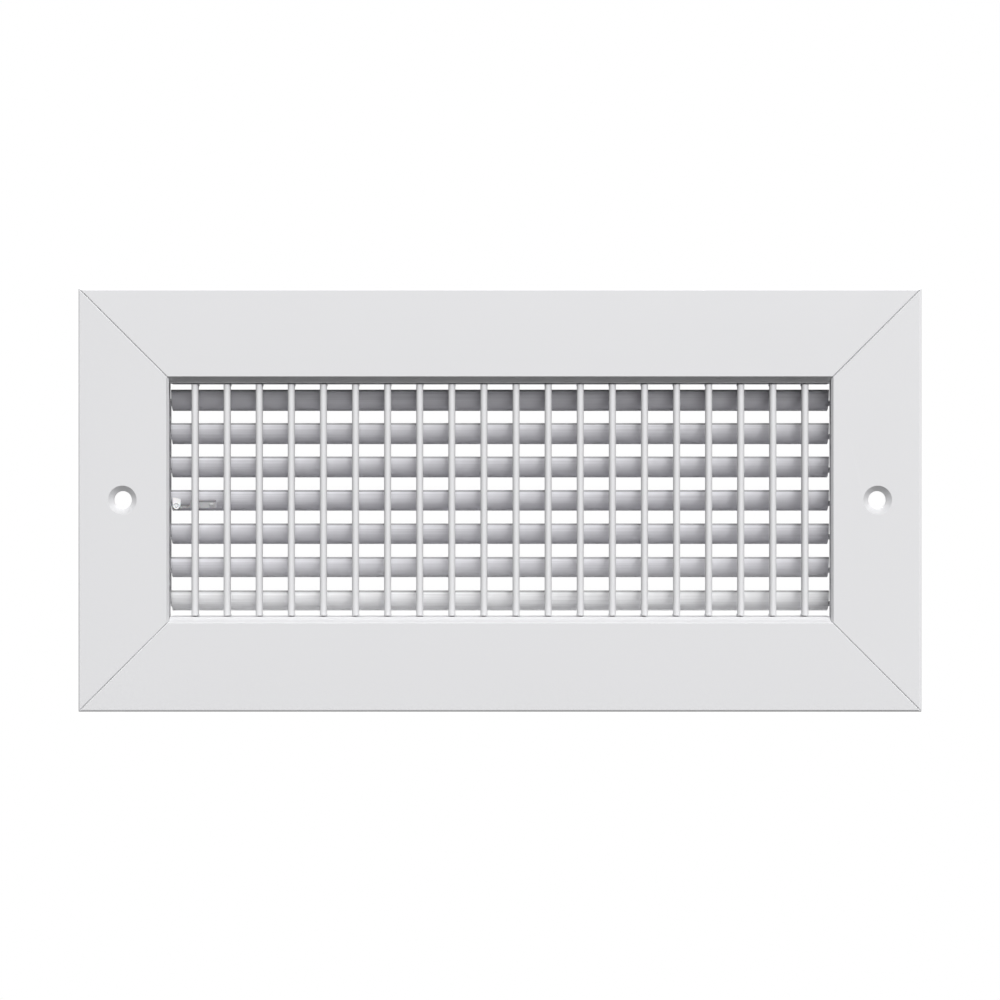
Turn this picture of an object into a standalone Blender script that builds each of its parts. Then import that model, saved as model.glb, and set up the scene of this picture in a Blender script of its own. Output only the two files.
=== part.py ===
"""A louvred air grille: a mitred aluminium flange frame with vertical blades that are turned one by one,
and behind them a shutter of horizontal curved blades that a tie bar turns together.

World frame: the wall's surface is the plane Y = 0, the room is on the -Y side, +X is right and +Z is up.
The origin is the centre of the opening on the wall's surface.
"""

import math

import bmesh
import bpy
from mathutils import Matrix, Vector

MM = 0.001
OBJECT_NAME = "louvred_air_grille"

# Flange frame. A depth is measured from the flange's front face towards the duct.
OPENING_WIDTH = 241.0 * MM
OPENING_HEIGHT = 89.2 * MM
BORDER = 31.9 * MM
STANDOFF = 6.0 * MM
FRAME_SHEET = 1.5 * MM
RETURN_WALL = 2.0 * MM
INNER_CHAMFER = 0.12 * MM
LIP_WIDTH = 0.75 * MM
LIP_SLOPE = 1.5
LIP_THICKNESS = 0.5 * MM
LIP_REAR = 2.6 * MM
OUTER_ROUND = 0.8 * MM
NECK_DEPTH = 18.0 * MM
SIDE_NECK_DEPTH = 15.2 * MM
RIB_INNER = 6.0 * MM
RIB_OUTER = 24.2 * MM
RIB_WALL = 1.2 * MM
RIB_DEPTH = 4.2 * MM
MITRE_CLEARANCE = 0.04 * MM
MITRE_GROOVE = 0.44 * MM
CORNER_KEY_LEG = 30.0 * MM
CORNER_KEY_THICKNESS = 1.8 * MM

# Countersunk wall-screw holes in the left and right members.
SCREW_SPACING = 273.05 * MM
COUNTERSINK_DIAMETER = 10.4 * MM
SCREW_HOLE_DIAMETER = 6.5 * MM
SCREW_BOSS_DIAMETER = 13.0 * MM
SCREW_BOSS_DEPTH = 3.2 * MM

# Rails that hold the front blades.
RAIL_FACE = 42.35 * MM
RAIL_WEB = 1.15 * MM
RAIL_LIP_DEPTH = 3.1 * MM
RAIL_LIP_CLEARANCE = 0.04 * MM
RAIL_REAR = 17.5 * MM
RAIL_PAD_FRONT = 13.0 * MM

# Front blades.
FRONT_BLADES = 20
FRONT_PITCH = 11.65 * MM
FRONT_PIVOT_DEPTH = 8.9 * MM
FRONT_CHORD = 11.0 * MM
FRONT_THICKNESS = 2.55 * MM
FRONT_HALF_SPAN = 41.92 * MM
COLLAR_RADIUS = 1.35 * MM
FRONT_PIN_RADIUS = 0.9 * MM
FRONT_PIN_HOLE = 1.15 * MM

# Rear shutter blades.
REAR_BLADES = 7
REAR_PITCH = 12.27 * MM
REAR_PIVOT_DEPTH = 21.9 * MM
REAR_PIVOT_DROP = 1.22 * MM
REAR_PIVOT_BEHIND = 0.9 * MM
REAR_ARC_RADIUS = 7.88 * MM
REAR_ARC_HALF = math.radians(45)
REAR_THICKNESS = 1.1 * MM
REAR_TILT = math.radians(35)
REAR_HALF_SPAN = 120.6 * MM
REAR_END_RING = 2.0 * MM
REAR_PIN_RADIUS = 1.0 * MM
REAR_PIN_HOLE = 1.2 * MM
REAR_PIN_END = 124.0 * MM
EAR_RADIUS = 1.4 * MM
EAR_THICKNESS = 1.0 * MM
CRANK_RADIUS = 4.5 * MM
CRANK_ANGLE = math.radians(5)
CRANK_PIN_RADIUS = 0.8 * MM

# Shutter frame behind the neck.
SIDE_PLATE_INNER = 122.4 * MM
SIDE_PLATE_OUTER = 123.9 * MM
SIDE_PLATE_FRONT = 7.2 * MM
SHUTTER_REAR = 32.0 * MM
SIDE_PLATE_HALF_HEIGHT = 44.9 * MM
STRAP_INNER = 45.4 * MM
STRAP_OUTER = 46.6 * MM
STRAP_FRONT = 18.6 * MM
STRAP_TAB_INNER = 124.3 * MM
STRAP_TAB_OUTER = 125.5 * MM
STRAP_TAB_END = 38.6 * MM

# Small fixings, which share one shank size.
SHANK_RADIUS = 1.2 * MM
SHANK_HOLE = 1.35 * MM
RIVET_HEAD_RADIUS = 2.2 * MM
RIVET_HEAD_HEIGHT = 0.8 * MM
SCREW_HEAD_RADIUS = 2.4 * MM
SCREW_HEAD_HEIGHT = 1.4 * MM
RAIL_RIVET_X = 100.0 * MM
RAIL_RIVET_DEPTH = 15.25 * MM
PLATE_SCREW_Z = 30.0 * MM
PLATE_SCREW_DEPTH = 12.6 * MM
STRAP_RIVET_Z = 41.5 * MM
STRAP_RIVET_DEPTH = 29.0 * MM

# Tie bar and lever.
TIE_BAR_INNER = 121.4 * MM
TIE_BAR_OUTER = 122.1 * MM
TIE_BAR_HALF_WIDTH = 1.5 * MM
TIE_BAR_HOLE = 1.0 * MM
LEVER_ANGLE = math.radians(13.5)
LEVER_GAP = 0.2 * MM
LEVER_SHEET = 0.7 * MM
LEVER_HALF_HEIGHT = 1.75 * MM
LEVER_CORNER = 0.5 * MM
LEVER_RIGHT = -104.1 * MM
LEVER_PLATE_LEFT = -113.2 * MM
LEVER_RIVET_X = -105.75 * MM
LEVER_LEG_REAR = 20.7 * MM
KNOB_X = -118.4 * MM
KNOB_Z = -2.2 * MM
KNOB_FRONT = 15.0 * MM
KNOB_RADIUS = 1.45 * MM
TAB_FRONT = 16.3 * MM
TAB_REAR = 17.1 * MM
TAB_RADIUS = 1.5 * MM
TAB_TOP = 1.0 * MM

GAP = 0.3 * MM
ROUND_SIDES = 12
HOLE_SIDES = 32

RIGHT = Vector((1, 0, 0))
BACK = Vector((0, 1, 0))
UP = Vector((0, 0, 1))


def clear_scene():
    for obj in list(bpy.data.objects):
        bpy.data.objects.remove(obj, do_unlink=True)


def new_collection(name, helpers):
    collection = bpy.data.collections.new(name)
    collection.hide_render = helpers
    bpy.context.scene.collection.children.link(collection)
    return collection


def material(name, color, roughness, metallic=0.0):
    made = bpy.data.materials.new(name)
    made.use_nodes = True
    shader = made.node_tree.nodes["Principled BSDF"]
    shader.inputs["Base Color"].default_value = (*color, 1.0)
    shader.inputs["Roughness"].default_value = roughness
    shader.inputs["Metallic"].default_value = metallic
    return made


def world_y(depth):
    """World Y of a depth behind the flange's front face."""
    return depth - STANDOFF


def axes_matrix(first, second, place=(0, 0, 0)):
    """The matrix that turns local X to first, local Y to second and local Z to their cross product."""
    rows = Matrix((first, second, first.cross(second))).transposed()
    return Matrix.Translation(place) @ rows.to_4x4()


def settle(obj):
    """Applies the object's modifiers to a mesh of its own."""
    graph = bpy.context.evaluated_depsgraph_get()
    bpy.context.view_layer.update()
    mesh = bpy.data.meshes.new_from_object(obj.evaluated_get(graph))
    obj.modifiers.clear()
    obj.data = mesh
    return obj


def settle_in_place(obj):
    """Settles the object and moves its placing into its mesh, so that copies need only a location."""
    settle(obj)
    obj.data.transform(obj.matrix_world)
    obj.matrix_world = Matrix()
    return obj


def add_object(name, mesh, matrix, paint=None):
    obj = bpy.data.objects.new(name, mesh)
    parts.objects.link(obj)
    obj.matrix_world = matrix
    if paint and not mesh.materials:
        mesh.materials.append(paint)
    return obj


def prism(name, outline, low, high, matrix, paint=None):
    """A flat outline in local X and Y, made solid from low to high along local Z."""
    curve = bpy.data.curves.new(name, "CURVE")
    curve.dimensions = "2D"
    curve.fill_mode = "BOTH"
    curve.extrude = (high - low) / 2
    spline = curve.splines.new("POLY")
    spline.points.add(len(outline) - 1)
    for point, (x, y) in zip(spline.points, outline):
        point.co = (x, y, 0, 1)
    spline.use_cyclic_u = True
    guide = bpy.data.objects.new(name, curve)
    parts.objects.link(guide)
    graph = bpy.context.evaluated_depsgraph_get()
    mesh = bpy.data.meshes.new_from_object(guide.evaluated_get(graph))
    bpy.data.objects.remove(guide)
    bpy.data.curves.remove(curve)
    shape = bmesh.new()
    shape.from_mesh(mesh)
    bmesh.ops.translate(shape, vec=(0, 0, (low + high) / 2), verts=shape.verts)
    bmesh.ops.remove_doubles(shape, verts=shape.verts, dist=1e-6)
    bmesh.ops.recalc_face_normals(shape, faces=shape.faces)
    shape.to_mesh(mesh)
    shape.free()
    mesh.name = name
    return add_object(name, mesh, matrix, paint)


def cylinder(name, start, end, radius, end_radius=None, sides=ROUND_SIDES, paint=None):
    """A cylinder or cone between two points."""
    start = Vector(start)
    end = Vector(end)
    along = end - start
    shape = bmesh.new()
    bmesh.ops.create_cone(
        shape,
        cap_ends=True,
        segments=sides,
        radius1=radius,
        radius2=radius if end_radius is None else end_radius,
        depth=along.length,
    )
    mesh = bpy.data.meshes.new(name)
    shape.to_mesh(mesh)
    shape.free()
    turn = along.to_track_quat("Z", "Y").to_matrix().to_4x4()
    return add_object(name, mesh, Matrix.Translation((start + end) / 2) @ turn, paint)


def box(name, low, high, paint=None):
    low = Vector(low)
    high = Vector(high)
    shape = bmesh.new()
    bmesh.ops.create_cube(shape, size=1)
    bmesh.ops.scale(shape, vec=high - low, verts=shape.verts)
    mesh = bpy.data.meshes.new(name)
    shape.to_mesh(mesh)
    shape.free()
    return add_object(name, mesh, Matrix.Translation((low + high) / 2), paint)


def turned(name, profile, place, paint):
    """A body turned about the world's Y axis through place. The profile's points are (radius, y)."""
    mesh = bpy.data.meshes.new(name)
    points = [(radius, 0, y) for radius, y in profile]
    mesh.from_pydata(points, [(i, i + 1) for i in range(len(points) - 1)], [])
    obj = add_object(name, mesh, axes_matrix(RIGHT, UP.copy(), place) @ Matrix.Scale(-1, 4, UP), paint)
    screw = obj.modifiers.new("turn", "SCREW")
    screw.axis = "Z"
    screw.steps = 2 * ROUND_SIDES
    screw.render_steps = 2 * ROUND_SIDES
    screw.use_merge_vertices = True
    screw.merge_threshold = 0.00001
    return obj


def combine(target, tools, operation):
    """Joins the tools to the target, or cuts them from it, and keeps them as helpers."""
    for tool in tools:
        parts.objects.unlink(tool)
        helpers.objects.link(tool)
        tool.hide_render = True
        tool.display_type = "WIRE"
        modifier = target.modifiers.new(operation.lower(), "BOOLEAN")
        modifier.operation = operation
        modifier.solver = "EXACT"
        modifier.object = tool
    return target


def arc(centre, radius, start, end, steps):
    """Points from the angle start to the angle end, both included."""
    angles = [start + (end - start) * i / steps for i in range(steps + 1)]
    return [(centre[0] + radius * math.cos(a), centre[1] + radius * math.sin(a)) for a in angles]


def smooth(obj, angle=35):
    obj.data.shade_smooth()
    obj.data.set_sharp_from_angle(angle=math.radians(angle))
    return obj


# ---------------------------------------------------------------------------- flange frame


def frame_profile(neck_depth):
    """The extrusion's section: distance outward from the opening, and depth. A sloped lip runs round the opening."""
    lip_edge = INNER_CHAMFER + LIP_WIDTH * LIP_SLOPE
    outer = arc(
        (BORDER - OUTER_ROUND, OUTER_ROUND), OUTER_ROUND, -math.pi / 2, 0, 3
    )
    ribs = []
    for rib in (RIB_OUTER, RIB_INNER):
        ribs += [
            (rib + RIB_WALL, FRAME_SHEET),
            (rib + RIB_WALL, RIB_DEPTH),
            (rib, RIB_DEPTH),
            (rib, FRAME_SHEET),
        ]
    return [
        (0, INNER_CHAMFER),
        (INNER_CHAMFER, 0),
        *outer,
        (BORDER, STANDOFF),
        (BORDER - RETURN_WALL, STANDOFF),
        (BORDER - RETURN_WALL, FRAME_SHEET),
        *ribs,
        (FRAME_SHEET, FRAME_SHEET),
        (FRAME_SHEET, neck_depth),
        (0, neck_depth),
        (0, LIP_REAR),
        (-LIP_WIDTH, lip_edge + LIP_THICKNESS),
        (-LIP_WIDTH, lip_edge),
    ]


def mitre_grooves():
    """Fine V-grooves where the members meet, one along each corner's diagonal."""
    grooves = []
    for side_x in (-1, 1):
        for side_z in (-1, 1):
            inner = Vector((side_x * OPENING_WIDTH / 2, 0, side_z * OPENING_HEIGHT / 2))
            diagonal = Vector((side_x, 0, side_z)).normalized()
            start = inner - diagonal * BORDER
            end = inner + diagonal * 2 * BORDER
            across = (BACK + diagonal.cross(BACK)).normalized()
            half = MITRE_GROOVE / 2
            outline = [(-half, -half), (half, -half), (half, half), (-half, half)]
            place = start + BACK * world_y(0)
            matrix = axes_matrix(across, diagonal.cross(across), place)
            length = (end - start).length
            grooves.append(prism("mitre_groove", outline, 0, length, matrix))
    return grooves


def frame_member(name, outward, opening_half, length_half, neck_depth, grooves):
    """One mitred length of the extrusion, along the side of the opening that faces outward."""
    place = outward * opening_half + BACK * world_y(0)
    matrix = axes_matrix(outward, BACK, place)
    member = prism(name, frame_profile(neck_depth), -length_half, length_half, matrix, paints["coat"])
    for vertex in member.data.vertices:
        reach = length_half + vertex.co.x - MITRE_CLEARANCE
        vertex.co.z = math.copysign(reach, vertex.co.z)
    for groove in grooves:
        modifier = member.modifiers.new("groove", "BOOLEAN")
        modifier.operation = "DIFFERENCE"
        modifier.solver = "EXACT"
        modifier.object = groove
    return member


def neck_hole(place, outward):
    """A cutter for a fixing's hole through the neck's wall."""
    return cylinder("hole", place - outward * 2 * MM, place + outward * 3 * MM, SHANK_HOLE)


def make_frame():
    grooves = mitre_grooves()
    width_half = OPENING_WIDTH / 2
    height_half = OPENING_HEIGHT / 2
    for name, outward in (("frame_top", UP), ("frame_bottom", -UP)):
        member = frame_member(name, outward, height_half, width_half, NECK_DEPTH, grooves)
        holes = []
        for side in (-1, 1):
            place = RIGHT * side * RAIL_RIVET_X + BACK * world_y(RAIL_RIVET_DEPTH)
            holes.append(neck_hole(place + outward * height_half, outward))
        smooth(settle(combine(member, holes, "DIFFERENCE")))
    for name, outward in (("frame_left", -RIGHT), ("frame_right", RIGHT)):
        member = frame_member(name, outward, width_half, height_half, SIDE_NECK_DEPTH, grooves)
        centre = outward * SCREW_SPACING / 2
        boss = cylinder(
            "screw_boss",
            centre + BACK * world_y(FRAME_SHEET / 2),
            centre + BACK * world_y(SCREW_BOSS_DEPTH),
            SCREW_BOSS_DIAMETER / 2,
            sides=HOLE_SIDES,
        )
        combine(member, [boss], "UNION")
        over = 0.2 * MM
        cone_depth = (COUNTERSINK_DIAMETER - SCREW_HOLE_DIAMETER) / 2
        cone = cylinder(
            "countersink",
            centre + BACK * world_y(-over),
            centre + BACK * world_y(cone_depth),
            COUNTERSINK_DIAMETER / 2 + over,
            SCREW_HOLE_DIAMETER / 2,
            sides=HOLE_SIDES,
        )
        bore = cylinder(
            "screw_hole",
            centre + BACK * world_y(-over),
            centre + BACK * world_y(SCREW_BOSS_DEPTH + over),
            SCREW_HOLE_DIAMETER / 2,
            sides=HOLE_SIDES,
        )
        holes = [cone, bore]
        for side in (-1, 1):
            place = UP * side * PLATE_SCREW_Z + BACK * world_y(PLATE_SCREW_DEPTH)
            holes.append(neck_hole(place + outward * width_half, outward))
        smooth(settle(combine(member, holes, "DIFFERENCE")))
    for groove in grooves:
        bpy.data.objects.remove(groove)


def make_corner_keys():
    """Flat L-shaped keys that lie between the ribs and hold each mitre."""
    low = RIB_INNER + RIB_WALL + GAP
    high = RIB_OUTER - 0.05 * MM
    leg = -CORNER_KEY_LEG
    outline = [(high, high), (leg, high), (leg, low), (low, low), (low, leg), (high, leg)]
    front = world_y(FRAME_SHEET + GAP)
    corners = {"top_left": (-1, 1), "top_right": (1, 1), "bottom_left": (-1, -1), "bottom_right": (1, -1)}
    for corner, (side_x, side_z) in corners.items():
        first = RIGHT * side_x
        second = UP * side_z
        if first.cross(second).y < 0:
            first, second = second, first
        place = Vector((side_x * OPENING_WIDTH / 2, front, side_z * OPENING_HEIGHT / 2))
        matrix = axes_matrix(first, second, place)
        prism("corner_key_" + corner, outline, 0, CORNER_KEY_THICKNESS, matrix, paints["bare"])


# ---------------------------------------------------------------------------- front blades


def front_blade_places():
    first = -FRONT_PITCH * (FRONT_BLADES - 1) / 2
    return [first + FRONT_PITCH * i for i in range(FRONT_BLADES)]


def make_rails():
    """Channels between the frame's necks. Their sloped lips carry the frame's lip on inside the opening."""
    set_in = LIP_WIDTH + RAIL_LIP_CLEARANCE
    tip = OPENING_HEIGHT / 2 - set_in
    top = OPENING_HEIGHT / 2 - GAP
    web = RAIL_FACE + RAIL_WEB
    step = 0.12 * MM
    ease = 0.4 * MM
    outline = [
        (tip, INNER_CHAMFER + set_in * LIP_SLOPE),
        (RAIL_FACE + 2.2 * step, RAIL_LIP_DEPTH),
        (RAIL_FACE + 1.2 * step, RAIL_LIP_DEPTH),
        (RAIL_FACE, RAIL_LIP_DEPTH + ease),
        (RAIL_FACE, RAIL_REAR),
        (top, RAIL_REAR),
        (top, RAIL_PAD_FRONT),
        (web, RAIL_PAD_FRONT),
        (web, RAIL_LIP_DEPTH + 3 * ease),
        (tip, 2.2 * MM),
    ]
    length = OPENING_WIDTH / 2 - set_in
    for name, outward in (("blade_rail_top", UP), ("blade_rail_bottom", -UP)):
        matrix = axes_matrix(outward, BACK, BACK * world_y(0))
        rail = prism(name, outline, -length, length, matrix, paints["coat"])
        holes = []
        for x in front_blade_places():
            place = RIGHT * x + BACK * world_y(FRONT_PIVOT_DEPTH)
            start = place + outward * (RAIL_FACE - 1 * MM)
            end = place + outward * (web + 0.5 * MM)
            holes.append(cylinder("pivot_hole", start, end, FRONT_PIN_HOLE, sides=8))
        for side in (-1, 1):
            place = RIGHT * side * RAIL_RIVET_X + BACK * world_y(RAIL_RIVET_DEPTH)
            start = place + outward * (top - 1.2 * MM)
            holes.append(cylinder("rivet_hole", start, place + outward * (top + 1 * MM), SHANK_HOLE))
        settle(combine(rail, holes, "DIFFERENCE"))


def front_blade_outline():
    """An aerofoil with its round nose towards the room. Local X is across it, Y along its chord."""
    half = FRONT_THICKNESS / 2
    nose_length = 1.5 * MM
    tail_half = 0.45 * MM
    nose = -FRONT_CHORD / 2
    tail = FRONT_CHORD / 2 - tail_half
    nose_end = nose + nose_length
    side = []
    for i in range(1, 6):
        angle = math.pi / 2 * i / 5
        side.append((half * math.sin(angle), nose_end - nose_length * math.cos(angle)))
    for share in (0.4, 0.75, 1.0):
        y = nose_end + (tail - nose_end) * share
        side.append((half - (half - tail_half) * share**1.6, y))
    side.append((tail_half * 0.7, tail + tail_half * 0.7))
    left = [(-x, y) for x, y in reversed(side)]
    return [(0, nose), *side, (0, tail + tail_half), *left]


def make_front_blades():
    matrix = axes_matrix(RIGHT, BACK)
    first = prism("blade", front_blade_outline(), -FRONT_HALF_SPAN, FRONT_HALF_SPAN, matrix, paints["coat"])
    ends = []
    for side in (-1, 1):
        inside = UP * side * (FRONT_HALF_SPAN - 0.5 * MM)
        collar_end = UP * side * (RAIL_FACE - GAP)
        pin_end = UP * side * (RAIL_FACE + RAIL_WEB + 0.5 * MM)
        ends.append(cylinder("collar", inside, collar_end, COLLAR_RADIUS, sides=10))
        ends.append(cylinder("pin", inside, pin_end, FRONT_PIN_RADIUS, sides=8))
    mesh = smooth(settle_in_place(combine(first, ends, "UNION")), 40).data
    bpy.data.objects.remove(first)
    for number, x in enumerate(front_blade_places(), 1):
        place = (x, world_y(FRONT_PIVOT_DEPTH), 0)
        add_object(f"front_blade_{number:02d}", mesh, Matrix.Translation(place), paints["coat"])


# ---------------------------------------------------------------------------- rear shutter


def rear_pivot(number):
    """A blade's pivot, behind the middle of its width. Blade 1 is the highest."""
    z = ((REAR_BLADES + 1) / 2 - number) * REAR_PITCH - REAR_PIVOT_DROP
    return Vector((0, world_y(REAR_PIVOT_DEPTH), z))


def rear_outline():
    """The curved section with round edges. Local X runs to the front edge and Y to the convex side, and the
    origin is the pivot, which lies behind the middle of the sheet."""
    centre = (0, REAR_PIVOT_BEHIND - REAR_ARC_RADIUS)
    half = REAR_THICKNESS / 2
    front = math.pi / 2 - REAR_ARC_HALF
    rear = math.pi / 2 + REAR_ARC_HALF
    front_end = arc(centre, REAR_ARC_RADIUS, front, front, 1)[0]
    rear_end = arc(centre, REAR_ARC_RADIUS, rear, rear, 1)[0]
    convex = arc(centre, REAR_ARC_RADIUS + half, front, rear, 12)
    concave = arc(centre, REAR_ARC_RADIUS - half, rear, front, 12)
    rear_round = arc(rear_end, half, rear, rear + math.pi, 4)[1:-1]
    front_round = arc(front_end, half, front - math.pi, front, 4)[1:-1]
    return [*convex, *rear_round, *concave, *front_round]


def blade_axes():
    """World directions of the section's local X and Y: along the chord, and out of the convex side."""
    along = -BACK * math.cos(REAR_TILT) + UP * math.sin(REAR_TILT)
    out = -BACK * math.sin(REAR_TILT) - UP * math.cos(REAR_TILT)
    return along, out


def crank_offset():
    """From a blade's pivot to its crank pin."""
    return BACK * CRANK_RADIUS * math.cos(CRANK_ANGLE) + UP * CRANK_RADIUS * math.sin(CRANK_ANGLE)


def add_rings(obj, places):
    """Cuts edge loops round a long body at the given places along the world's X axis."""
    to_local = obj.matrix_world.inverted()
    shape = bmesh.new()
    shape.from_mesh(obj.data)
    for x in places:
        bmesh.ops.bisect_plane(
            shape,
            geom=[*shape.verts, *shape.edges, *shape.faces],
            dist=1e-6,
            plane_co=to_local @ (RIGHT * x),
            plane_no=to_local.to_3x3() @ RIGHT,
        )
    shape.to_mesh(obj.data)
    shape.free()


def make_crank_ear():
    """A round-ended ear at the blade's left end, from its pivot to its crank pin."""
    offset = crank_offset()
    length = CRANK_RADIUS
    outline = arc((length, 0), EAR_RADIUS, -math.pi / 2, math.pi / 2, 6)
    outline += arc((0, 0), EAR_RADIUS, math.pi / 2, 3 * math.pi / 2, 6)
    first = offset.normalized()
    second = RIGHT.cross(first)
    matrix = axes_matrix(first, second, -RIGHT * REAR_HALF_SPAN)
    return prism("crank_ear", outline, 0, EAR_THICKNESS, matrix)


def make_rear_blades():
    along, out = blade_axes()
    matrix = axes_matrix(along, out)
    first = prism("blade", rear_outline(), -REAR_HALF_SPAN, REAR_HALF_SPAN, matrix, paints["coat"])
    ring = REAR_HALF_SPAN - REAR_END_RING
    add_rings(first, (-ring, ring))
    left = -RIGHT
    crank = crank_offset()
    inside = REAR_HALF_SPAN - EAR_THICKNESS
    end = REAR_HALF_SPAN
    overlap = 0.3 * MM
    shoulder_end = TIE_BAR_INNER - GAP
    crank_end = TIE_BAR_OUTER + 0.1 * MM
    additions = [
        make_crank_ear(),
        cylinder("right_boss", RIGHT * inside, RIGHT * end, EAR_RADIUS),
        cylinder("left_pin", left * (end - overlap), left * REAR_PIN_END, REAR_PIN_RADIUS),
        cylinder("right_pin", RIGHT * (end - overlap), RIGHT * REAR_PIN_END, REAR_PIN_RADIUS),
        cylinder("shoulder", crank + left * (end - overlap), crank + left * shoulder_end, 1.3 * MM),
        cylinder("crank_pin", crank + left * (end - overlap), crank + left * crank_end, CRANK_PIN_RADIUS),
    ]
    mesh = smooth(settle_in_place(combine(first, additions, "UNION")), 40).data
    bpy.data.objects.remove(first)
    for number in range(1, REAR_BLADES + 1):
        matrix = Matrix.Translation(rear_pivot(number))
        add_object(f"rear_blade_{number}", mesh, matrix, paints["coat"])


def make_side_plates():
    """The plates on both sides that carry the rear blades' pins."""
    front = world_y(SIDE_PLATE_FRONT)
    rear = world_y(SHUTTER_REAR)
    half = SIDE_PLATE_HALF_HEIGHT
    corner = 3 * MM
    outline = [
        *arc((rear - corner, half - corner), corner, 0, math.pi / 2, 3),
        *arc((front + corner, half - corner), corner, math.pi / 2, math.pi, 3),
        *arc((front + corner, corner - half), corner, math.pi, 3 * math.pi / 2, 3),
        *arc((rear - corner, corner - half), corner, -math.pi / 2, 0, 3),
    ]
    for name, side in (("side_plate_left", -1), ("side_plate_right", 1)):
        low, high = sorted((side * SIDE_PLATE_INNER, side * SIDE_PLATE_OUTER))
        plate = prism(name, outline, low, high, axes_matrix(BACK, UP), paints["coat"])
        spots = [(rear_pivot(number), REAR_PIN_HOLE) for number in range(1, REAR_BLADES + 1)]
        for end in (-1, 1):
            screw = UP * end * PLATE_SCREW_Z + BACK * world_y(PLATE_SCREW_DEPTH)
            rivet = UP * end * STRAP_RIVET_Z + BACK * world_y(STRAP_RIVET_DEPTH)
            spots += [(screw, SHANK_HOLE), (rivet, SHANK_HOLE)]
        outward = RIGHT * side
        holes = []
        for spot, radius in spots:
            start = spot + outward * (SIDE_PLATE_INNER - 1 * MM)
            end = spot + outward * (SIDE_PLATE_OUTER + 1 * MM)
            holes.append(cylinder("hole", start, end, radius))
        settle(combine(plate, holes, "DIFFERENCE"))


def make_straps():
    """Strips that close the shutter frame above and below, with tabs turned over the side plates."""
    outline = [
        (-STRAP_TAB_OUTER, STRAP_TAB_END),
        (-STRAP_TAB_OUTER, STRAP_OUTER),
        (STRAP_TAB_OUTER, STRAP_OUTER),
        (STRAP_TAB_OUTER, STRAP_TAB_END),
        (STRAP_TAB_INNER, STRAP_TAB_END),
        (STRAP_TAB_INNER, STRAP_INNER),
        (-STRAP_TAB_INNER, STRAP_INNER),
        (-STRAP_TAB_INNER, STRAP_TAB_END),
    ]
    for name, outward in (("shutter_strap_top", UP), ("shutter_strap_bottom", -UP)):
        first = RIGHT * outward.z
        matrix = axes_matrix(first, outward)
        low, high = sorted((matrix.to_3x3().inverted() @ BACK).z * world_y(d) for d in (STRAP_FRONT, SHUTTER_REAR))
        strap = prism(name, outline, low, high, matrix, paints["coat"])
        holes = []
        for side in (-1, 1):
            place = outward * STRAP_RIVET_Z + BACK * world_y(STRAP_RIVET_DEPTH)
            start = place + RIGHT * side * (STRAP_TAB_INNER - 1 * MM)
            end = place + RIGHT * side * (STRAP_TAB_OUTER + 1 * MM)
            holes.append(cylinder("hole", start, end, SHANK_HOLE))
        settle(combine(strap, holes, "DIFFERENCE"))


def fixing(name, seat, outward, shank_length, head_radius, head_height, paint):
    """A headed fixing whose head starts at seat and whose shank runs inward."""
    head = cylinder(name, seat, seat + outward * head_height, head_radius, head_radius * 0.75, paint=paint)
    shank = cylinder("shank", seat + outward * head_height / 2, seat - outward * shank_length, SHANK_RADIUS)
    return smooth(settle(combine(head, [shank], "UNION")), 30)


def make_fixings():
    number = 0
    for outward in (UP, -UP):
        for side in (-1, 1):
            number += 1
            seat = outward * (OPENING_HEIGHT / 2 + FRAME_SHEET + GAP)
            seat = seat + RIGHT * side * RAIL_RIVET_X + BACK * world_y(RAIL_RIVET_DEPTH)
            fixing(
                f"rail_rivet_{number}", seat, outward, 2.9 * MM, RIVET_HEAD_RADIUS, RIVET_HEAD_HEIGHT, paints["bare"]
            )
    number = 0
    for outward in (-RIGHT, RIGHT):
        for end in (-1, 1):
            number += 1
            screw = outward * (SIDE_PLATE_OUTER + GAP)
            screw = screw + UP * end * PLATE_SCREW_Z + BACK * world_y(PLATE_SCREW_DEPTH)
            fixing(
                f"plate_screw_{number}", screw, outward, 3.5 * MM, SCREW_HEAD_RADIUS, SCREW_HEAD_HEIGHT, paints["steel"]
            )
            rivet = outward * (STRAP_TAB_OUTER + GAP)
            rivet = rivet + UP * end * STRAP_RIVET_Z + BACK * world_y(STRAP_RIVET_DEPTH)
            fixing(
                f"strap_rivet_{number}", rivet, outward, 2.9 * MM, RIVET_HEAD_RADIUS, RIVET_HEAD_HEIGHT, paints["bare"]
            )


def make_tie_bar():
    """The bar that links the crank pins, with its origin on the middle blade's pin."""
    middle = (REAR_BLADES + 1) // 2
    place = rear_pivot(middle) + crank_offset()
    reach = REAR_PITCH * (REAR_BLADES - 1) / 2
    half = TIE_BAR_HALF_WIDTH
    outline = arc((0, reach), half, 0, math.pi, 6) + arc((0, -reach), half, math.pi, 2 * math.pi, 6)
    bar = prism(
        "tie_bar", outline, -TIE_BAR_OUTER, -TIE_BAR_INNER, axes_matrix(BACK, UP, place), paints["steel"]
    )
    holes = []
    for step in range(REAR_BLADES):
        spot = place + UP * (reach - REAR_PITCH * step)
        start = spot - RIGHT * (TIE_BAR_INNER - 1 * MM)
        holes.append(cylinder("hole", start, spot - RIGHT * (TIE_BAR_OUTER + 1 * MM), TIE_BAR_HOLE))
    settle(combine(bar, holes, "DIFFERENCE"))


# ---------------------------------------------------------------------------- lever


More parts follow.
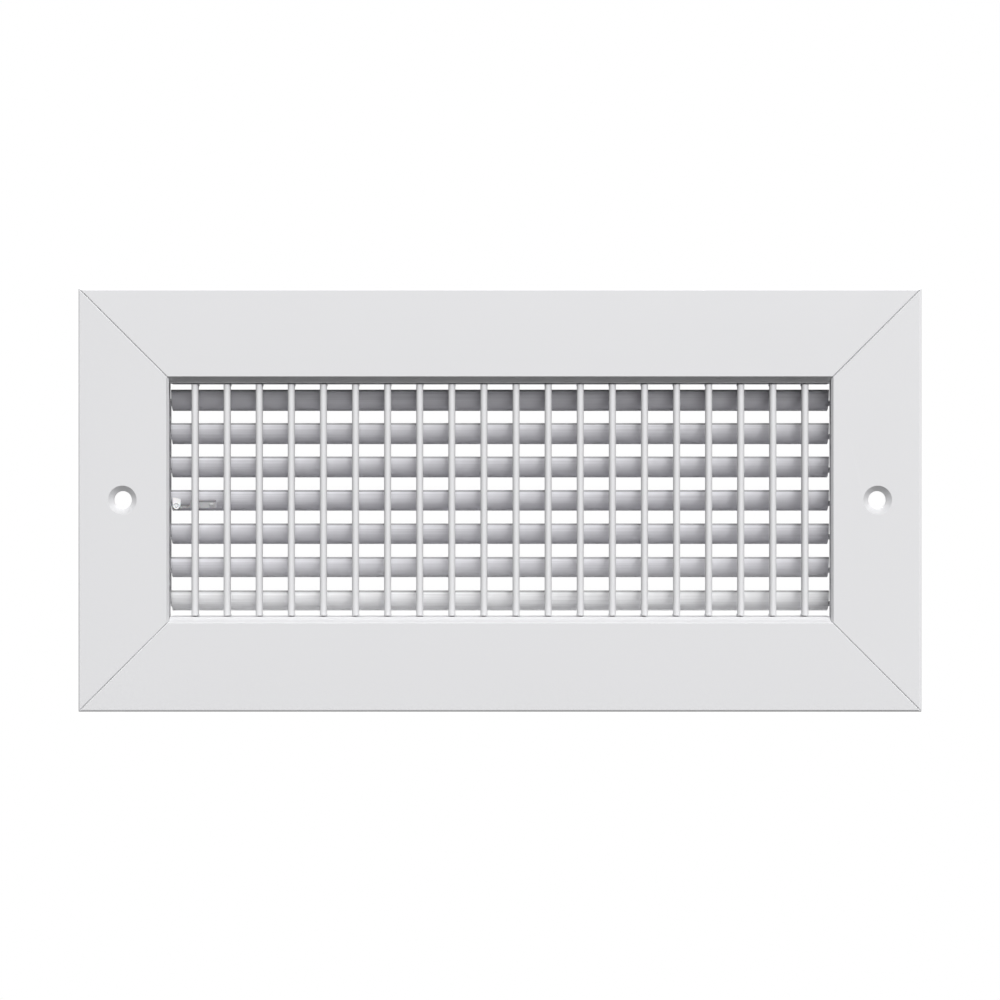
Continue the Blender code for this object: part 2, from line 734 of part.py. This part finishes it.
def lever_frame():
    """The plane that the lever's plate lies in: its centre on the blade, its direction up the blade, its normal."""
    along, out = blade_axes()
    turn = LEVER_ANGLE
    up_blade = along * math.cos(turn) - out * math.sin(turn)
    normal = along * math.sin(turn) + out * math.cos(turn)
    rise = REAR_ARC_RADIUS * math.sin(turn)
    drop = REAR_PIVOT_BEHIND + REAR_ARC_RADIUS * (math.cos(turn) - 1)
    middle = (REAR_BLADES + 1) // 2
    centre = rear_pivot(middle) + along * rise + out * drop
    return centre, up_blade, normal


def make_lever():
    centre, up_blade, normal = lever_frame()
    surface = REAR_THICKNESS / 2 + LEVER_GAP
    half = LEVER_HALF_HEIGHT
    arm_top = -1.0 * MM
    leg_left = KNOB_X + 0.8 * MM
    leg_right = KNOB_X + TAB_RADIUS
    # Local X runs left to right and local Y up the blade.
    end = LEVER_RIGHT - LEVER_CORNER
    outline = [
        *arc((end, LEVER_CORNER - half), LEVER_CORNER, -math.pi / 2, 0, 3),
        *arc((end, half - LEVER_CORNER), LEVER_CORNER, 0, math.pi / 2, 3),
        (LEVER_PLATE_LEFT, half),
        (LEVER_PLATE_LEFT - 1 * MM, arm_top),
        (leg_left, arm_top),
        (leg_left, -half),
    ]
    matrix = axes_matrix(RIGHT, up_blade, centre)
    if matrix.to_3x3().col[2].dot(normal) < 0:
        surface = -surface - LEVER_SHEET
    lever = prism("damper_lever", outline, surface, surface + LEVER_SHEET, matrix, paints["white"])
    tab_left = KNOB_X - TAB_RADIUS
    tab = arc((KNOB_X, KNOB_Z), TAB_RADIUS, math.pi, 2 * math.pi, 8)
    tab += [(leg_right, TAB_TOP - 0.7 * MM), (tab_left, TAB_TOP)]
    tab_plate = prism(
        "lever_tab", tab, -world_y(TAB_REAR), -world_y(TAB_FRONT), axes_matrix(RIGHT, UP)
    )
    leg = box(
        "lever_leg",
        (leg_left, world_y(TAB_FRONT + 0.2 * MM), KNOB_Z - 0.9 * MM),
        (leg_right, world_y(LEVER_LEG_REAR), KNOB_Z - 0.15 * MM),
    )
    combine(lever, [tab_plate, leg], "UNION")
    knob_hole = cylinder(
        "knob_hole",
        (KNOB_X, world_y(TAB_FRONT - 1 * MM), KNOB_Z),
        (KNOB_X, world_y(TAB_REAR + 1 * MM), KNOB_Z),
        0.7 * MM,
    )
    rivet_spot = centre + RIGHT * LEVER_RIVET_X
    reach = normal * 3 * MM
    hole_radius = 0.65 * MM
    combine(lever, [knob_hole, cylinder("rivet_hole", rivet_spot, rivet_spot + reach, hole_radius)], "DIFFERENCE")
    smooth(settle(lever), 30)
    blade = bpy.data.objects[f"rear_blade_{(REAR_BLADES + 1) // 2}"]
    blade.data = blade.data.copy()
    add_rings(blade, (LEVER_RIVET_X - 1.5 * MM, LEVER_RIVET_X + 1.5 * MM))
    cutter = cylinder("rivet_hole", rivet_spot - reach, rivet_spot + reach, hole_radius)
    smooth(settle(combine(blade, [cutter], "DIFFERENCE")), 40)
    make_lever_rivet(rivet_spot, normal)
    make_knob()


def make_lever_rivet(spot, normal):
    seat = spot + normal * (REAR_THICKNESS / 2 + LEVER_GAP + LEVER_SHEET + 0.1 * MM)
    rivet = cylinder("lever_rivet", seat, seat + normal * 0.4 * MM, 1.0 * MM, 0.6 * MM, paint=paints["coat"])
    shank = cylinder("shank", seat + normal * 0.2 * MM, spot - normal * 1.0 * MM, 0.5 * MM)
    smooth(settle(combine(rivet, [shank], "UNION")), 30)


def make_knob():
    """A small dished button, held by its stem in the lever's tab."""
    stem = 0.55 * MM
    base = TAB_FRONT - GAP
    profile = [
        (0, world_y(TAB_REAR + 0.4 * MM)),
        (stem, world_y(TAB_REAR + 0.4 * MM)),
        (stem, world_y(base)),
        (KNOB_RADIUS, world_y(base)),
        (KNOB_RADIUS, world_y(KNOB_FRONT + 0.25 * MM)),
        (KNOB_RADIUS - 0.25 * MM, world_y(KNOB_FRONT)),
        (0.95 * MM, world_y(KNOB_FRONT)),
        (0.85 * MM, world_y(KNOB_FRONT + 0.4 * MM)),
        (0.5 * MM, world_y(KNOB_FRONT + 0.4 * MM)),
        (0.4 * MM, world_y(KNOB_FRONT + 0.1 * MM)),
        (0, world_y(KNOB_FRONT + 0.1 * MM)),
    ]
    knob = turned("lever_knob", profile, (KNOB_X, 0, KNOB_Z), paints["white"])
    smooth(settle(knob), 30)


def set_pivots():
    """Puts the knob, the lever and its rivet under an empty on the middle rear blade's axis."""
    middle = (REAR_BLADES + 1) // 2
    pivot = bpy.data.objects.new("lever_pivot", None)
    parts.objects.link(pivot)
    pivot.location = rear_pivot(middle)
    bpy.context.view_layer.update()
    for name in ("damper_lever", "lever_knob", "lever_rivet"):
        obj = bpy.data.objects[name]
        obj.parent = pivot
        obj.matrix_parent_inverse = pivot.matrix_world.inverted()


def remove_helpers():
    for obj in list(helpers.objects):
        bpy.data.objects.remove(obj)
    bpy.data.collections.remove(helpers)


clear_scene()
parts = new_collection(OBJECT_NAME, False)
helpers = new_collection("cutters", True)
paints = {
    "coat": material("satin_white_powder_coat", (0.76, 0.76, 0.77), 0.45),
    "bare": material("mill_aluminium", (0.62, 0.63, 0.64), 0.4, 1.0),
    "steel": material("zinc_steel", (0.55, 0.56, 0.58), 0.35, 1.0),
    "white": material("white_plastic", (0.85, 0.85, 0.85), 0.35),
}
make_frame()
make_corner_keys()
make_rails()
make_front_blades()
make_side_plates()
make_rear_blades()
make_straps()
make_fixings()
make_tie_bar()
make_lever()
set_pivots()
remove_helpers()
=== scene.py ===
"""Looks of the louvred air grille: fine edges, procedural finishes, soft light and the camera."""

import math

import bpy
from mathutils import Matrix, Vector


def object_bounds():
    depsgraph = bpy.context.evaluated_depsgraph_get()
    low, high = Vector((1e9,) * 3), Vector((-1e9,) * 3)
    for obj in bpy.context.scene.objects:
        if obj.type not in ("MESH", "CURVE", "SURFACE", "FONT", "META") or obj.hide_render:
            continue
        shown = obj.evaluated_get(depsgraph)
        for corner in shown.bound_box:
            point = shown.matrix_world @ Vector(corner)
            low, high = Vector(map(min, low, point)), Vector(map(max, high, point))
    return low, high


MM = 0.001
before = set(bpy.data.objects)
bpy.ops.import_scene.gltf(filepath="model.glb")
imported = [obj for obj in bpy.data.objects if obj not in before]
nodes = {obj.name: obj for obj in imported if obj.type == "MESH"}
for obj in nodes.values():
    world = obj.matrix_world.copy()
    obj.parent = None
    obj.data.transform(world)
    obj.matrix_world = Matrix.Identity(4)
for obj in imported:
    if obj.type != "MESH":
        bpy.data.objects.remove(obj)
cad_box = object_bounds()

# Colours of the coats, from the flange's to the rear blades'.
WHITE = (0.7, 0.7, 0.713)
BLADE_WHITE = (0.735, 0.735, 0.747)
REAR_BLADE_WHITE = (0.93, 0.923, 0.962)
# The lowest rear blade's coat is a lighter copy: painted light for the bounce from the bottom rail.
BOUNCE_LIT_BLADE_WHITE = (0.94, 0.94, 0.945)

# Grain of the coats, in features per metre, and its height.
PEEL_SCALE = 2200
PEEL_HEIGHT = 0.012 * MM
LINES_HEIGHT = 0.02 * MM
LINES_STRETCH = {"X": (8, 900, 900), "Z": (900, 900, 8)}

# The outer rounding of the flange, where a painted highlight makes the coat lighter.
RIM_WIDTH = 0.8 * MM

# Where the lever's riveted plate starts along X, and its painted shadow line below the upper edge
# along Z.
PLATE_START = (-113.4 * MM, -112.8 * MM)
PLATE_SHADOW_LINE = (-0.95 * MM, -0.7 * MM)

# Radii of the fine rounding on the CAD edges, and what counts as an edge.
EDGE = 0.08 * MM
FINE_EDGE = 0.05 * MM
THIN_EDGE = 0.04 * MM
RIVET_EDGE = 0.03 * MM
EDGE_ANGLE = math.radians(32)
WELD_DISTANCE = 0.001 * MM

# Studio, in metres, and the camera's lens in millimetres.
FLOOR_RADIUS = 1.05
FLOOR_DROP = 0.27
CAMERA_DISTANCE = 1.25
CAMERA_LENS = 124.5
CAMERA_SENSOR = 36
LIT_FROM_BELOW = 0.01
LIT_FROM_ABOVE = 0.04

# Name, azimuth, elevation and spread in degrees, and strength. Azimuth is to the right of
# straight in front, and the spread is the source's width.
SUNS = (
    ("key", 5, 35, 18, 1.38),
    ("top_key", 0, 60, 12, 0.46),
    ("right_key", 28, 32, 16, 0.9),
    ("low_fill", 8, 15, 18, 0.85),
    ("left_fill", -21, 35, 12, 0.25),
    ("right_side", 65, 25, 30, 0.3),
    ("left_side", -65, 20, 30, 0.22),
    ("back_low", 180, 20, 20, 0.55),
    ("back_high", 180, 75, 20, 2.7),
)


# ---------------------------------------------------------------------------- material helpers


class Shader:
    """A material's node tree with short calls for the nodes that the finishes use."""

    def __init__(self, name):
        self.material = bpy.data.materials.new(name)
        self.material.use_nodes = True
        self.tree = self.material.node_tree
        self.surface = self.tree.nodes["Principled BSDF"]
        coordinates = self.tree.nodes.new("ShaderNodeTexCoord")
        self.place = coordinates.outputs["Object"]
        self.facing = coordinates.outputs["Normal"]

    def link(self, source, target):
        self.tree.links.new(source, target)

    def set(self, **values):
        """Constants on the surface's own sockets, such as Coat_Weight=0.3."""
        for socket, value in values.items():
            self.surface.inputs[socket.replace("_", " ")].default_value = value

    def stretched(self, scale):
        mapping = self.tree.nodes.new("ShaderNodeMapping")
        mapping.inputs["Scale"].default_value = scale
        self.link(self.place, mapping.inputs["Vector"])
        return mapping.outputs["Vector"]

    def noise(self, scale, detail=2.0, roughness=0.5, stretch=(1, 1, 1)):
        """Noise whose scale is in features per metre."""
        texture = self.tree.nodes.new("ShaderNodeTexNoise")
        texture.inputs["Scale"].default_value = scale
        texture.inputs["Detail"].default_value = detail
        texture.inputs["Roughness"].default_value = roughness
        self.link(self.stretched(stretch), texture.inputs["Vector"])
        return texture.outputs["Fac"]

    def range(self, value, low, high, to_low=0.0, to_high=1.0):
        """Maps low..high to to_low..to_high, and holds the ends."""
        node = self.tree.nodes.new("ShaderNodeMapRange")
        node.inputs["From Min"].default_value = low
        node.inputs["From Max"].default_value = high
        node.inputs["To Min"].default_value = to_low
        node.inputs["To Max"].default_value = to_high
        self.link(value, node.inputs["Value"])
        return node.outputs["Result"]

    def mix(self, factor, first, second):
        """Mixes two colours, each a colour or a socket."""
        node = self.tree.nodes.new("ShaderNodeMix")
        node.data_type = "RGBA"
        self.link(factor, node.inputs["Factor"])
        for socket, color in (("A", first), ("B", second)):
            target = [i for i in node.inputs if i.name == socket and i.type == "RGBA"][0]
            if isinstance(color, tuple):
                target.default_value = (*color, 1)
            else:
                self.link(color, target)
        return [o for o in node.outputs if o.type == "RGBA"][0]

    def bump(self, height, distance, strength, below=None):
        node = self.tree.nodes.new("ShaderNodeBump")
        node.inputs["Strength"].default_value = strength
        node.inputs["Distance"].default_value = distance
        self.link(height, node.inputs["Height"])
        if below:
            self.link(below, node.inputs["Normal"])
        return node.outputs["Normal"]

    def orange_peel(self, below=None):
        """The coat's fine relief, on top of another relief where there is one."""
        return self.bump(self.noise(PEEL_SCALE, 2), PEEL_HEIGHT, 0.5, below)

    def edges(self):
        """1 on outward edges and corners, 0 on flats, from the mesh's own curvature."""
        pointiness = self.tree.nodes.new("ShaderNodeNewGeometry").outputs["Pointiness"]
        return self.range(pointiness, 0.52, 0.62)

    def parts(self, vector):
        split = self.tree.nodes.new("ShaderNodeSeparateXYZ")
        self.link(vector, split.inputs["Vector"])
        return split.outputs

    def both(self, first, second):
        node = self.tree.nodes.new("ShaderNodeMath")
        node.operation = "MULTIPLY"
        self.link(first, node.inputs[0])
        self.link(second, node.inputs[1])
        return node.outputs["Value"]

    def rim(self, axis):
        """1 where the flange's outer rounding faces forward, on the two sides that axis crosses:
        where the painted highlight goes.
        """
        distance = self.tree.nodes.new("ShaderNodeMath")
        distance.operation = "ABSOLUTE"
        self.link(self.parts(self.place)[axis], distance.inputs[0])
        outermost = cad_box[1]["XYZ".index(axis)]
        start, end = outermost - RIM_WIDTH, outermost - RIM_WIDTH / 2
        near = self.range(distance.outputs["Value"], start, end)
        return self.both(near, self.range(self.parts(self.facing)["Y"], -0.05, -0.35))

    def upper_edge(self):
        """1 on rounded edges that face up and forward, 0 elsewhere: where the painted shade of the
        upper edge goes.
        """
        facing = self.parts(self.facing)
        up = self.range(facing["Z"], -0.15, -0.08)
        forward = self.range(facing["Y"], -0.2, -0.32)
        return self.both(up, forward)


def shade(color, factor):
    return tuple(c * factor for c in color)


def powder_coat(name, color, along="X", lines=0.1, drift=0.004, ledges=0.0):
    """A satin powder coat: fine orange peel, slow drifts of tone, and a painted highlight on its
    edges.

    lines is how strongly the extrusion's lengthwise lines show through it, and along is the axis
    that they follow. ledges is for the flange: how strongly painted shade darkens its slopes that
    face up and forward. A coat with ledges also gets a painted highlight on the flange's rim.
    """
    made = Shader(name)
    drifts = made.range(made.noise(14, 3), 0.3, 0.7)
    tone = made.mix(drifts, shade(color, 1 - drift), shade(color, 1 + drift))
    draw_lines = made.noise(1, 5, 0.65, LINES_STRETCH[along])
    tone = made.mix(made.range(draw_lines, 0.35, 0.75, lines, 0), tone, shade(color, 0.86))
    # Painted highlight: edges and corners are lighter.
    tone = made.mix(made.range(made.edges(), 0, 1, 0, 0.2), tone, shade(color, 1.05))
    if ledges:
        facing = made.parts(made.facing)
        # Painted shade: the flange's slopes that face up and forward are darker.
        slope = made.range(facing["Z"], 0.5, 0.72, 0, ledges)
        forward = made.range(facing["Y"], -0.58, -0.66)
        tone = made.mix(made.both(slope, forward), tone, shade(color, 0.7))
        # Painted highlight on the flange's outer rim.
        tone = made.mix(made.rim("Z" if along == "X" else "X"), tone, shade(color, 1.3))
    made.link(tone, made.surface.inputs["Base Color"])
    rough = made.range(made.noise(60, 2), 0.3, 0.7, 0.52, 0.58)
    made.link(rough, made.surface.inputs["Roughness"])
    lengthwise = made.bump(draw_lines, LINES_HEIGHT, 0.5 * lines)
    made.link(made.orange_peel(lengthwise), made.surface.inputs["Normal"])
    made.set(IOR=1.5, Coat_Weight=0.05, Coat_Roughness=0.45)
    return made.material


def streaked_coat(name, color, underside_shade):
    """The thinner coat of the rolled rear blades: fine streaks along their length, stronger in some
    stretches than in others, painted shade on the upper edge, and painted shade on what faces down."""
    made = Shader(name)
    patches = made.range(made.noise(1, 2, 0.5, (16, 60, 60)), 0.4, 0.68, 0.45, 1.0)
    fine = made.noise(1, 3, 0.6, (9, 1900, 1900))
    tone = made.mix(made.range(fine, 0.36, 0.64), shade(color, 0.84), shade(color, 1.13))
    tone = made.mix(patches, color, tone)
    broad = made.noise(1, 2, 0.5, (5, 260, 260))
    tone = made.mix(made.range(broad, 0.35, 0.7, 0.22, 0), tone, shade(color, 0.88))
    # Painted shade: what faces down is darker.
    underside = made.range(made.parts(made.facing)["Z"], -0.2, -0.8, 0, underside_shade)
    tone = made.mix(underside, tone, shade(color, 0.8))
    # Painted shade on the upper edge that faces up and forward.
    tone = made.mix(made.upper_edge(), tone, shade(color, 0.4))
    made.link(tone, made.surface.inputs["Base Color"])
    made.link(made.range(fine, 0.3, 0.7, 0.36, 0.46), made.surface.inputs["Roughness"])
    made.link(made.orange_peel(), made.surface.inputs["Normal"])
    made.set(IOR=1.5, Coat_Weight=0.1, Coat_Roughness=0.3)
    return made.material


def mill_aluminium():
    """Bare drawn aluminium with fine streaks along X."""
    made = Shader("mill_aluminium")
    streaks = made.noise(1, 6, 0.7, (60, 2500, 2500))
    tone = made.mix(made.range(streaks, 0.3, 0.7), (0.52, 0.53, 0.54), (0.7, 0.71, 0.72))
    made.link(tone, made.surface.inputs["Base Color"])
    made.link(made.range(streaks, 0.3, 0.7, 0.42, 0.3), made.surface.inputs["Roughness"])
    made.link(made.bump(streaks, 0.015 * MM, 0.6), made.surface.inputs["Normal"])
    made.set(Metallic=1.0, Anisotropic=0.4)
    return made.material


def zinc_steel():
    """Bright zinc plate with a fine spangle."""
    made = Shader("zinc_steel")
    spangle = made.noise(900, 4, 0.6)
    tone = made.mix(made.range(spangle, 0.35, 0.65), (0.5, 0.51, 0.54), (0.66, 0.66, 0.68))
    made.link(tone, made.surface.inputs["Base Color"])
    made.link(made.range(spangle, 0.3, 0.7, 0.26, 0.4), made.surface.inputs["Roughness"])
    made.link(made.bump(made.noise(4000, 2), 0.008 * MM, 0.5), made.surface.inputs["Normal"])
    made.set(Metallic=1.0)
    return made.material


def white_plastic(name):
    """A moulded white, and its shader so that a piece can add its own marks."""
    made = Shader(name)
    drift = made.range(made.noise(200, 2), 0.3, 0.7)
    tone = made.mix(drift, (0.84, 0.84, 0.84), (0.9, 0.9, 0.9))
    made.link(made.range(made.noise(800, 2), 0.3, 0.7, 0.3, 0.42), made.surface.inputs["Roughness"])
    made.link(made.bump(made.noise(5000, 2), 0.01 * MM, 0.4), made.surface.inputs["Normal"])
    made.set(IOR=1.49, Subsurface_Weight=0.1, Subsurface_Scale=0.5 * MM)
    return made, tone


def lever_white():
    """White, with painted shade where it faces up and a painted shadow line below the plate's upper
    edge.
    """
    made, tone = white_plastic("lever_white")
    place = made.parts(made.place)
    on_plate = made.range(place["X"], *PLATE_START)
    # Painted shadow: a grey line below the plate's upper edge.
    line = made.both(on_plate, made.range(place["Z"], *PLATE_SHADOW_LINE))
    tone = made.mix(line, tone, (0.38, 0.38, 0.39))
    # Painted shade on what faces up.
    upward = made.range(made.parts(made.facing)["Z"], 0.25, 0.45)
    tone = made.mix(upward, tone, (0.26, 0.26, 0.27))
    made.link(tone, made.surface.inputs["Base Color"])
    return made.material


def knob_white():
    """White, with painted shade on what faces down: the dish's upper wall and the rim's underside.
    """
    made, tone = white_plastic("knob_white")
    underside_shade = made.range(made.parts(made.facing)["Z"], -0.05, -0.35)
    # Painted shade where the knob faces down.
    tone = made.mix(underside_shade, tone, (0.2, 0.2, 0.2))
    made.link(tone, made.surface.inputs["Base Color"])
    return made.material


# ---------------------------------------------------------------------------- CAD nodes


def refine(name, material, edge_radius):
    """Gives a CAD node its finish, smooth shading and fine rounded edges."""
    node = nodes[name]
    mesh = node.data
    mesh.attributes.remove(mesh.attributes["custom_normal"])
    mesh.shade_smooth()
    node.material_slots[0].material = material
    weld = node.modifiers.new("weld", "WELD")
    weld.merge_threshold = WELD_DISTANCE
    bevel = node.modifiers.new("edges", "BEVEL")
    bevel.width = edge_radius
    bevel.segments = 2
    bevel.limit_method = "ANGLE"
    bevel.angle_limit = EDGE_ANGLE
    bevel.harden_normals = True
    bevel.miter_outer = "MITER_ARC"
    normals = node.modifiers.new("normals", "WEIGHTED_NORMAL")
    normals.keep_sharp = False
    normals.mode = "FACE_AREA_WITH_ANGLE"


flange_across = powder_coat(
    "flange_across_coat", WHITE, along="X", lines=0.02, drift=0.002, ledges=0.7
)
flange_upright = powder_coat(
    "flange_upright_coat", WHITE, along="Z", lines=0.02, drift=0.002, ledges=0.7
)
rear_blade_coat = streaked_coat("rear_blade_coat", REAR_BLADE_WHITE, underside_shade=0.75)
# Painted light: the lowest rear blade's copy has almost no painted shade below, for the light
# bounced from the bottom rail.
bounce_lit_blade_coat = streaked_coat("bounce_lit_blade_coat", BOUNCE_LIT_BLADE_WHITE, underside_shade=0.05)

# The start of a node's name, with its finish and its edge radius. The longest match counts.
finishes = {
    "frame_top": (flange_across, EDGE),
    "frame_bottom": (flange_across, EDGE),
    "frame_left": (flange_upright, EDGE),
    "frame_right": (flange_upright, EDGE),
    "blade_rail": (powder_coat("rail_coat", WHITE), FINE_EDGE),
    "front_blade": (powder_coat("front_blade_coat", BLADE_WHITE, along="Z"), THIN_EDGE),
    "rear_blade": (rear_blade_coat, FINE_EDGE),
    "rear_blade_7": (bounce_lit_blade_coat, FINE_EDGE),
    "side_plate": (powder_coat("plate_coat", WHITE, along="Z"), EDGE),
    "shutter_strap": (powder_coat("strap_coat", WHITE), EDGE),
    "corner_key": (mill_aluminium(), EDGE),
    "rail_rivet": (mill_aluminium(), FINE_EDGE),
    "strap_rivet": (mill_aluminium(), FINE_EDGE),
    "plate_screw": (zinc_steel(), FINE_EDGE),
    "tie_bar": (zinc_steel(), FINE_EDGE),
    "lever_rivet": (powder_coat("rivet_coat", BLADE_WHITE), RIVET_EDGE),
    "damper_lever": (lever_white(), FINE_EDGE),
    "lever_knob": (knob_white(), THIN_EDGE),
}
for name in nodes:
    kind = max((kind for kind in finishes if name.startswith(kind)), key=len)
    refine(name, *finishes[kind])


# ---------------------------------------------------------------------------- studio


def add_floor():
    """A plain pale disc below the grille. It gives no bounce light, so the sills stay dark."""
    bpy.ops.mesh.primitive_circle_add(
        vertices=96,
        radius=FLOOR_RADIUS,
        fill_type="NGON",
        location=(0, 0, cad_box[0].z - FLOOR_DROP),
    )
    floor = bpy.context.object
    floor.name = "floor"
    made = Shader("floor_paint")
    made.set(Base_Color=(0.8, 0.8, 0.8, 1), Roughness=0.8)
    floor.data.materials.append(made.material)
    floor.visible_diffuse = False
    floor.visible_glossy = False


def add_soft_sun(name, azimuth, elevation, spread, strength):
    """Even light from one direction, with angles as in SUNS."""
    lamp = bpy.data.lights.new(name, "SUN")
    lamp.angle = math.radians(spread)
    lamp.energy = strength
    light = bpy.data.objects.new(name, lamp)
    bpy.context.scene.collection.objects.link(light)
    turn = math.radians(azimuth)
    rise = math.radians(elevation)
    level = math.cos(rise)
    away = Vector((math.sin(turn) * level, -math.cos(turn) * level, math.sin(rise)))
    light.location = away * 2
    light.rotation_euler = (-away).to_track_quat("-Z", "Y").to_euler()


def add_world():
    """White behind the object. As a light, it is bright above and dark below."""
    world = bpy.data.worlds.new("studio")
    bpy.context.scene.world = world
    world.use_nodes = True
    tree = world.node_tree
    tree.nodes.clear()
    add = tree.nodes.new
    link = tree.links.new
    direction = add("ShaderNodeTexCoord").outputs["Generated"]
    split = add("ShaderNodeSeparateXYZ")
    link(direction, split.inputs["Vector"])
    ramp = add("ShaderNodeMapRange")
    ramp.interpolation_type = "SMOOTHSTEP"
    ramp.inputs["From Min"].default_value = -0.25
    ramp.inputs["From Max"].default_value = 0.5
    ramp.inputs["To Min"].default_value = LIT_FROM_BELOW
    ramp.inputs["To Max"].default_value = LIT_FROM_ABOVE
    link(split.outputs["Z"], ramp.inputs["Value"])
    lit = add("ShaderNodeBackground")
    link(ramp.outputs["Result"], lit.inputs["Strength"])
    seen = add("ShaderNodeBackground")
    seen.inputs["Strength"].default_value = 1.0
    for background in (lit, seen):
        background.inputs["Color"].default_value = (1, 1, 1, 1)
    choose = add("ShaderNodeMixShader")
    link(add("ShaderNodeLightPath").outputs["Is Camera Ray"], choose.inputs["Fac"])
    link(lit.outputs["Background"], choose.inputs[1])
    link(seen.outputs["Background"], choose.inputs[2])
    link(choose.outputs["Shader"], add("ShaderNodeOutputWorld").inputs["Surface"])


def add_camera():
    """A long lens straight in front of the grille."""
    camera = bpy.data.cameras.new("camera")
    camera.sensor_width = CAMERA_SENSOR
    camera.lens = CAMERA_LENS
    camera.clip_start = 0.05
    view = bpy.data.objects.new("camera", camera)
    bpy.context.scene.collection.objects.link(view)
    view.location = (0, cad_box[0].y - CAMERA_DISTANCE, 0)
    view.rotation_euler = (math.radians(90), 0, 0)
    bpy.context.scene.camera = view


add_floor()
for sun in SUNS:
    add_soft_sun(*sun)
add_world()
add_camera()
bpy.context.scene.view_settings.view_transform = "Standard"
